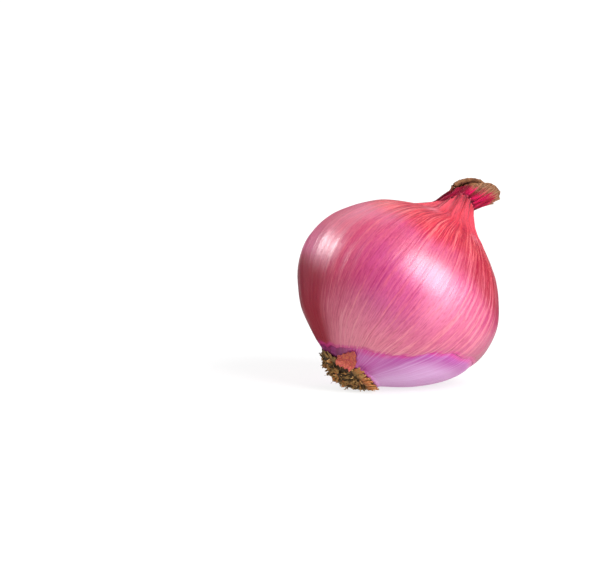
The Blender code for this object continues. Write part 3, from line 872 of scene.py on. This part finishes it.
class Nodes:
    """A short way to build a material's node tree. Inputs are sockets, plain values or linear colours."""

    def __init__(self, name):
        self.material = bpy.data.materials.new(name)
        self.material.use_nodes = True
        self.tree = self.material.node_tree
        self.shader = self.tree.nodes["Principled BSDF"]

    def feed(self, socket, value):
        if isinstance(value, bpy.types.NodeSocket):
            self.tree.links.new(value, socket)
        else:
            socket.default_value = (*value, 1) if socket.type == "RGBA" else value

    def set(self, **values):
        """Sets or links the shader's own inputs."""
        for key, value in values.items():
            self.feed(self.shader.inputs[key.replace("_", " ")], value)
        return self.material

    def node(self, kind, **inputs):
        made = self.tree.nodes.new(kind)
        for key, value in inputs.items():
            self.feed(made.inputs[key], value)
        return made

    def split(self, vector):
        """A vector's three parts."""
        return self.node("ShaderNodeSeparateXYZ", Vector=vector).outputs

    def attribute(self, name, output="Fac"):
        made = self.node("ShaderNodeAttribute")
        made.attribute_name = name
        return made.outputs[output]

    def vector(self, name):
        return self.attribute(name, "Vector")

    def place(self):
        return self.node("ShaderNodeTexCoord").outputs["Object"]

    def math(self, operation, *values, clamp=False):
        made = self.node("ShaderNodeMath")
        made.operation = operation
        made.use_clamp = clamp
        for socket, value in zip(made.inputs, values):
            self.feed(socket, value)
        return made.outputs[0]

    def plus(self, a, b, clamp=False):
        return self.math("ADD", a, b, clamp=clamp)

    def minus(self, a, b, clamp=False):
        return self.math("SUBTRACT", a, b, clamp=clamp)

    def times(self, a, b, clamp=False):
        return self.math("MULTIPLY", a, b, clamp=clamp)

    def noise(self, vector, stretch, detail, roughness, offset=(0, 0, 0), distortion=0.0):
        """Noise over a vector stretched along its three axes."""
        stretched = self.node("ShaderNodeMapping", Vector=vector, Scale=stretch, Location=offset).outputs[0]
        made = self.node(
            "ShaderNodeTexNoise", Vector=stretched, Scale=1.0, Detail=detail, Roughness=roughness,
            Distortion=distortion,
        )  # fmt: skip
        return made.outputs["Fac"]

    def ramp(self, value, *stops, smooth=True):
        """A value carried through (position, value or colour) stops."""
        made = self.node("ShaderNodeValToRGB", Fac=value)
        made.color_ramp.interpolation = "EASE" if smooth else "LINEAR"
        elements = made.color_ramp.elements
        while len(elements) < len(stops):
            elements.new(0.5)
        for element, (place, shade) in zip(elements, stops):
            element.position = place
            element.color = (shade, shade, shade, 1) if isinstance(shade, (int, float)) else (*shade, 1)
        return made.outputs["Color"]

    def mix(self, share, a, b):
        """Colour a with this share of colour b over it."""
        made = self.node("ShaderNodeMix")
        made.data_type = "RGBA"
        for index, value in ((0, share), (6, a), (7, b)):
            self.feed(made.inputs[index], value)
        return made.outputs[2]

    def layered(self, colour, *layers):
        """A colour with (share, colour) layers over it."""
        for share, shade in layers:
            colour = self.mix(share, colour, shade)
        return colour

    def bump(self, height, strength, distance):
        return self.node("ShaderNodeBump", Strength=strength, Distance=distance, Height=height).outputs[0]


VEINS_ROUND = 68


def vein_wave(n, around, count, warp_share, shift):
    """A cosine that runs count times round the bulb, each wave wandering a little as it climbs."""
    x, y, _ = n.split(around)
    slow = n.noise(around, (5, 5, 0.9), 2.0, 0.5, (shift, 1, 2))
    quick = n.noise(around, (17, 17, 3.2), 2.0, 0.5, (3, shift, 1))
    warp = n.plus(n.times(slow, 14.0 * warp_share), n.times(quick, 9.0 * warp_share))
    return n.math("COSINE", n.plus(n.times(n.math("ARCTAN2", y, x), float(count)), warp))


def skin_material():
    """Glossy papery skin: its painted pigment, with pale veins along it, fine streaks and stipples."""
    n = Nodes("onion_skin")
    around, vein_colour = n.vector("around"), n.vector("vein_colour")
    strength, width, top = n.split(n.vector("vein"))
    uneven = n.noise(around, (17, 17, 4.5), 2.0, 0.6, (1, 6, 3))
    streaky = n.noise(around, (60, 60, 3.0), 3.0, 0.6, (3, 1, 5), 0.1)
    stipple = n.noise(around, (84, 84, 30), 3.0, 0.65, (7, 2, 1))
    dashes = n.noise(around, (44, 44, 6.5), 3.0, 0.6, (2, 8, 4))

    # A vein is where the wave is within its width of its crest.
    width = n.times(width, n.plus(n.times(dashes, 1.6), 0.2))
    wave = vein_wave(n, around, VEINS_ROUND, 1.0, 0)
    fine_wave = vein_wave(n, around, VEINS_ROUND * 2 + 1, 1.3, 5)
    vein = n.times(n.minus(n.plus(wave, n.times(width, 1.5)), 1.0), 2.6, clamp=True)
    fine_vein = n.times(n.minus(n.plus(fine_wave, n.times(width, 1.1)), 1.0), 2.2, clamp=True)
    sparse = n.plus(n.times(uneven, 8.0), n.times(strength, 2.6))
    here = n.times(strength, n.minus(sparse, 5.5, clamp=True))
    dashed = n.times(n.ramp(dashes, (0.40, 1), (0.56, 0)), n.plus(n.times(top, 0.8), 0.14))
    dark, crimson, plum = srgb(134, 4, 58), srgb(146, 0, 40), srgb(140, 6, 66)
    colour = n.layered(
        n.vector("pigment"),
        (n.times(n.ramp(streaky, (0.36, 0), (0.64, 1)), 0.24), vein_colour),
        (n.times(n.times(fine_vein, here), n.times(top, 0.85)), vein_colour),
        (n.times(n.times(vein, here), 0.85), vein_colour),
        (n.ramp(streaky, (0.28, 0.42), (0.46, 0)), dark),
        (dashed, crimson),
        (n.ramp(stipple, (0.34, 0.40), (0.5, 0)), plum),
        (n.ramp(stipple, (0.52, 0), (0.68, 0.30)), vein_colour),
    )
    rise = n.plus(n.plus(n.times(vein, 0.2), n.times(streaky, 0.9)), n.times(stipple, 0.25))
    return n.set(
        Base_Color=colour,
        Roughness=n.plus(n.ramp(streaky, (0.3, 0.34), (0.7, 0.47)), n.times(n.attribute("neck"), 0.45)),
        Normal=n.bump(rise, 0.30, 0.0003),
        Specular_IOR_Level=0.72,
        Subsurface_Weight=0.05,
        Subsurface_Radius=(1.0, 0.4, 0.6),
        Subsurface_Scale=0.002,
    )


def flesh_material():
    """Satin flesh: its painted pigment, with fine pale and magenta lines along it."""
    n = Nodes("onion_flesh")
    around = n.vector("around")
    fine = n.noise(around, (46, 46, 2.2), 4.0, 0.6, distortion=0.1)
    broad = n.noise(around, (9, 9, 1.6), 3.0, 0.5, (2, 4, 1))
    stipple = n.noise(around, (150, 150, 40), 2.0, 0.6, (7, 2, 1))
    wave = n.times(n.minus(vein_wave(n, around, 96, 1.2, 3), 0.55), 2.4, clamp=True)
    # The pale lines leave out the painted shade on the far side.
    outside_far_shade = n.minus(1.0, n.attribute("stain"))
    lines = n.times(wave, n.ramp(broad, (0.4, 0), (0.6, 0.22)))
    colour = n.layered(
        n.vector("pigment"),
        (n.ramp(broad, (0.35, 0.20), (0.6, 0)), srgb(172, 64, 146)),
        (n.times(outside_far_shade, n.ramp(fine, (0.48, 0), (0.68, 0.34))), srgb(216, 172, 214)),
        (n.times(outside_far_shade, lines), srgb(220, 182, 220)),
        (n.times(outside_far_shade, n.ramp(fine, (0.30, 0.30), (0.44, 0))), srgb(178, 60, 144)),
        (n.ramp(stipple, (0.34, 0.12), (0.5, 0)), srgb(170, 60, 140)),
    )
    return n.set(
        Base_Color=colour,
        Roughness=n.ramp(fine, (0.3, 0.32), (0.7, 0.44)),
        Normal=n.bump(n.plus(fine, n.times(stipple, 0.3)), 0.3, 0.0003),
        Specular_IOR_Level=0.6,
        Subsurface_Weight=0.15,
        Subsurface_Radius=(1.0, 0.5, 0.8),
        Subsurface_Scale=0.002,
    )


def neck_material():
    """Crimson dried leaf that turns tan and fibrous towards its torn rim."""
    n = Nodes("neck_leaf")
    fan, green, right = n.vector("fan"), n.attribute("green"), n.attribute("right")
    fibre = n.noise(fan, (34, 34, 2.5), 4.0, 0.6, distortion=0.1)
    broad = n.noise(fan, (6, 6, 2.0), 3.0, 0.5, (2, 1, 4))
    patchy = n.noise(fan, (11, 11, 9), 3.0, 0.6, (5, 3, 1))
    speck = n.noise(fan, (42, 42, 26), 3.0, 0.6, (1, 5, 3))
    crimson = n.layered(
        srgb(126, 0, 36),
        (n.ramp(broad, (0.35, 0), (0.65, 1)), srgb(194, 4, 76)),
        (n.times(n.minus(1.0, right), 0.75), srgb(108, 0, 28)),
        (n.times(n.ramp(fibre, (0.5, 0), (0.7, 1)), 0.28), srgb(190, 44, 74)),
        (n.ramp(fibre, (0.36, 0.85), (0.47, 0)), srgb(66, 0, 20)),
    )
    tan = n.layered(
        srgb(104, 66, 46),
        (n.ramp(fibre, (0.35, 0), (0.65, 1)), srgb(164, 124, 94)),
        (n.ramp(speck, (0.38, 0.8), (0.50, 0)), srgb(64, 36, 24)),
    )
    brown = n.mix(n.ramp(patchy, (0.35, 0), (0.65, 1)), srgb(84, 40, 26), srgb(140, 92, 58))
    edge = n.plus(n.times(n.minus(fibre, 0.5), 0.3), n.times(n.minus(patchy, 0.5), 0.6))
    dry = n.ramp(n.plus(edge, n.times(green, 0.5), clamp=True), (0.16, 1), (0.80, 0))
    colour = n.mix(dry, crimson, n.mix(right, brown, tan))
    # Painted shade darkens the leaves just above the collar and the roll's lower side.
    return n.set(
        Base_Color=n.mix(n.times(n.attribute("crevice"), 0.85), colour, srgb(50, 2, 10)),
        Roughness=n.ramp(dry, (0.0, 0.5), (1.0, 0.85)),
        Normal=n.bump(n.plus(fibre, n.times(speck, 0.6)), 0.7, 0.0006),
        Specular_IOR_Level=0.12,
        Subsurface_Weight=0.05,
        Subsurface_Scale=0.001,
    )


def root_material():
    """Dry roots: dark in the gaps with painted shade, olive, straw and rusty brown, each its own shade."""
    n = Nodes("dry_root")
    place = n.place()
    mottle = n.noise(place, (900, 900, 900), 4.0, 0.6)
    broad = n.noise(place, (160, 160, 160), 2.0, 0.5)
    colour = n.ramp(
        n.plus(n.attribute("tint"), n.times(n.minus(mottle, 0.5), 0.5), clamp=True),
        (0.0, srgb(52, 36, 20)), (0.3, srgb(116, 84, 44)), (0.55, srgb(160, 120, 66)),
        (0.78, srgb(170, 128, 74)), (0.88, srgb(186, 104, 56)), (1.0, srgb(214, 166, 104)), smooth=False,
    )  # fmt: skip
    colour = n.mix(n.ramp(broad, (0.4, 0), (0.65, 0.45)), colour, srgb(74, 62, 36))
    # Painted shade darkens each root and flake towards its foot, and the plate between them.
    foot = n.ramp(n.attribute("tip"), (0.0, 1), (0.6, 0))
    return n.set(
        Base_Color=n.mix(n.times(foot, 0.6), colour, srgb(40, 28, 14)),
        Roughness=n.ramp(mottle, (0.3, 0.7), (0.7, 0.95)),
        Normal=n.bump(mottle, 0.7, 0.0004),
        Specular_IOR_Level=0.25,
    )


def scrap_material():
    """Thin dried skin, brick-coloured, with darker fibres."""
    n = Nodes("dried_skin")
    grain = n.vector("grain")
    fibre = n.noise(grain, (60, 3.5, 1), 4.0, 0.65, distortion=0.2)
    patchy = n.noise(grain, (7, 6, 1), 3.0, 0.6, (3, 2, 1))
    flecks = n.noise(grain, (30, 24, 1), 3.0, 0.6, (5, 1, 2))
    colour = n.layered(
        srgb(182, 66, 68),
        (n.ramp(patchy, (0.38, 0), (0.62, 1)), srgb(206, 104, 70)),
        (n.times(n.ramp(fibre, (0.45, 0), (0.6, 1)), 0.6), srgb(132, 42, 44)),
        (n.ramp(flecks, (0.55, 0), (0.7, 0.5)), srgb(226, 150, 120)),
    )
    return n.set(
        Base_Color=colour,
        Roughness=n.ramp(fibre, (0.3, 0.45), (0.7, 0.7)),
        Normal=n.bump(fibre, 0.6, 0.0004),
        Specular_IOR_Level=0.35,
    )


# ---------------- camera, light and floor

CAMERA_AZIMUTH_DEG = -27.0
CAMERA_ELEVATION_DEG = 8.0
LENS_MM = 250.0
SENSOR_MM = 36.0
FRAME_PIXELS = 612
PIXELS_PER_MM = 2.763
ROOT_FROM_FRAME_CENTRE_PIXELS = (42, -89)

MIDDLE = Vector((0.0, 0.0, 0.037))
UP = Vector((0, 0, 1))
FRONT_BOX_AZIMUTH_DEG = 19.0

FLAG_COLOUR = (0.01, 0.004, 0.006)
SKY_LOW, SKY_HIGH, SKY_FULL_AT = 0.06, 0.34, 0.8
FLOOR_HALF_M = 12.0
FLOOR_DROP_M = 0.0002
FLOOR_COLOUR = (0.24, 0.24, 0.24)


def direction(azimuth_deg, elevation_deg):
    """From the middle of the onion towards this azimuth (0 is -Y, 90 is +X) and elevation."""
    azimuth, elevation = math.radians(azimuth_deg), math.radians(elevation_deg)
    flat = math.cos(elevation)
    return Vector((math.sin(azimuth) * flat, -math.cos(azimuth) * flat, math.sin(elevation)))


def aim(obj, towards):
    """Turns a camera or light so that its -Z points this way."""
    obj.rotation_euler = towards.to_track_quat("-Z", "Y").to_euler()


def make_camera():
    view = -direction(CAMERA_AZIMUTH_DEG, CAMERA_ELEVATION_DEG)
    right = view.cross(UP).normalized()
    up = right.cross(view)
    across, above = ROOT_FROM_FRAME_CENTRE_PIXELS
    target = ROOT_CENTRE - (right * across + up * above) / PIXELS_PER_MM * MM
    data = bpy.data.cameras.new("camera")
    data.lens = LENS_MM
    data.sensor_width = SENSOR_MM
    data.clip_start = 0.05
    data.clip_end = 20.0
    distance = LENS_MM / SENSOR_MM * FRAME_PIXELS / PIXELS_PER_MM * MM
    camera = new_object("camera", data)
    camera.location = target - view * distance
    aim(camera, view)
    bpy.context.scene.camera = camera


def add_softbox(name, azimuth_deg, elevation_deg, distance, size, watts, roll_deg=0.0, gloss_only=False):
    data = bpy.data.lights.new(name, "AREA")
    data.shape = "RECTANGLE"
    data.size, data.size_y = size
    data.energy = watts
    light = new_object(name, data)
    towards = direction(azimuth_deg, elevation_deg)
    light.location = MIDDLE + towards * distance
    aim(light, -towards)
    light.rotation_euler.rotate_axis("Z", math.radians(roll_deg))
    light.visible_diffuse = not gloss_only


def new_square(name, half, material):
    """A flat square that takes no part in the onion."""
    shape = bmesh.new()
    bmesh.ops.create_grid(shape, x_segments=1, y_segments=1, size=half)
    mesh = bpy.data.meshes.new(name)
    shape.to_mesh(mesh)
    shape.free()
    mesh.materials.append(material)
    return new_object(name, mesh)


def add_flag(name, middle, along, across, size, soft):
    """A dark studio flag with soft edges that only the onion's gloss sees, and throws no shade."""
    n = Nodes(name)
    x, y, _ = n.split(n.place())
    inside = [n.minus(0.5, n.math("ABSOLUTE", part)) for part in (x, y)]
    fades = [n.ramp(edge, (0.0, 0.0), (share, 1.0)) for edge, share in zip(inside, soft)]
    n.set(Base_Color=FLAG_COLOUR, Roughness=0.9, Specular_IOR_Level=0.0, Alpha=n.times(*fades))
    flag = new_square(name, 0.5, n.material)
    turn = Matrix((along, across, along.cross(across))).transposed()
    flag.matrix_world = Matrix.Translation(middle) @ turn.to_4x4() @ Matrix.Diagonal((*size, 1, 1))
    flag.visible_camera = flag.visible_diffuse = flag.visible_shadow = flag.visible_transmission = False


def make_lights():
    # Azimuth and elevation in degrees, distance and size in metres, watts.
    add_softbox("front_box", FRONT_BOX_AZIMUTH_DEG, 29, 0.9, (0.58, 0.72), 16.4, roll_deg=14)
    add_softbox("front_glow", 16, 31, 0.9, (0.74, 0.96), 8.0, roll_deg=14, gloss_only=True)
    add_softbox("back_box", -137, 27, 0.9, (0.24, 0.32), 5.2)
    add_softbox("back_glow", -139, 31, 0.95, (0.5, 0.5), 3.6, gloss_only=True)
    add_softbox("top_box", 170, 46, 1.0, (0.7, 0.8), 2.6)

    # Middle, two axes and size in metres, and the share of each side that fades.
    back = direction(180 + CAMERA_AZIMUTH_DEG, 0)
    left = direction(CAMERA_AZIMUTH_DEG - 90, 0)
    front, aside = direction(FRONT_BOX_AZIMUTH_DEG, 0), direction(FRONT_BOX_AZIMUTH_DEG + 90, 0)
    add_flag("side_flag", left * 0.064 + back * 0.030 + UP * 0.031, back, UP, (0.18, 0.078), (0.3, 0.13))
    add_flag("right_flag", left * -0.066 + back * 0.045 + UP * 0.035, back, UP, (0.13, 0.085), (0.2, 0.25))
    add_flag("top_flag", front * 0.030 + UP * 0.107, aside, UP, (0.11, 0.070), (0.15, 0.1))
    add_flag("low_flag", left * 0.051 + back * 0.032 + UP * 0.001, back, left, (0.115, 0.058), (0.2, 0.25))


def make_sky():
    """A dim studio, lighter overhead."""
    world = bpy.data.worlds.new("studio")
    world.use_nodes = True
    nodes, links = world.node_tree.nodes, world.node_tree.links
    place = nodes.new("ShaderNodeTexCoord")
    split = nodes.new("ShaderNodeSeparateXYZ")
    shade = nodes.new("ShaderNodeValToRGB")
    links.new(place.outputs["Generated"], split.inputs["Vector"])
    links.new(split.outputs["Z"], shade.inputs["Fac"])
    links.new(shade.outputs["Color"], nodes["Background"].inputs["Color"])
    for element, position, grey in zip(shade.color_ramp.elements, (0.0, SKY_FULL_AT), (SKY_LOW, SKY_HIGH)):
        element.position, element.color = position, (grey, grey, grey, 1)
    bpy.context.scene.world = world


def make_floor():
    """A pale floor that glows towards white away from the onion."""
    n = Nodes("floor")
    away = n.node("ShaderNodeVectorMath")
    away.operation = "LENGTH"
    n.feed(away.inputs[0], n.place())
    n.set(
        Base_Color=FLOOR_COLOUR,
        Roughness=0.9,
        Specular_IOR_Level=0.1,
        Emission_Color=n.ramp(away.outputs["Value"], (0.2, 0.75), (1.3, 1.0)),
        Emission_Strength=1.0,
    )
    floor = new_square("floor", FLOOR_HALF_M, n.material)
    floor.location.z = -FLOOR_DROP_M


# ---------------- the scene


def dress(piece, material, node):
    piece.data.materials.append(material)
    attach(piece, "root")
    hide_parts(node)


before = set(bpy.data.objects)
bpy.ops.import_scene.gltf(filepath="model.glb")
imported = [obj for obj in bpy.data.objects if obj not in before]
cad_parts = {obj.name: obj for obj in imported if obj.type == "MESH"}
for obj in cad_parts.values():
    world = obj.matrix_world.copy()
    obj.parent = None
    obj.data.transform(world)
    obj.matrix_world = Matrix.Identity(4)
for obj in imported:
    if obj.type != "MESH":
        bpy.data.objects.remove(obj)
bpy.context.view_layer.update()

bpy.context.scene.view_settings.view_transform = "Standard"
make_camera()
make_lights()
make_sky()
make_floor()
dress(make_skin(), skin_material(), "outer_skin")
dress(make_flesh(), flesh_material(), "bulb")
leaf = neck_material()
for piece in make_neck():
    dress(piece, leaf, "neck_leaves")
roots = root_material()
for piece in make_root():
    dress(piece, roots, "root_plate")
dress(make_scrap(), scrap_material(), "skin_scrap")
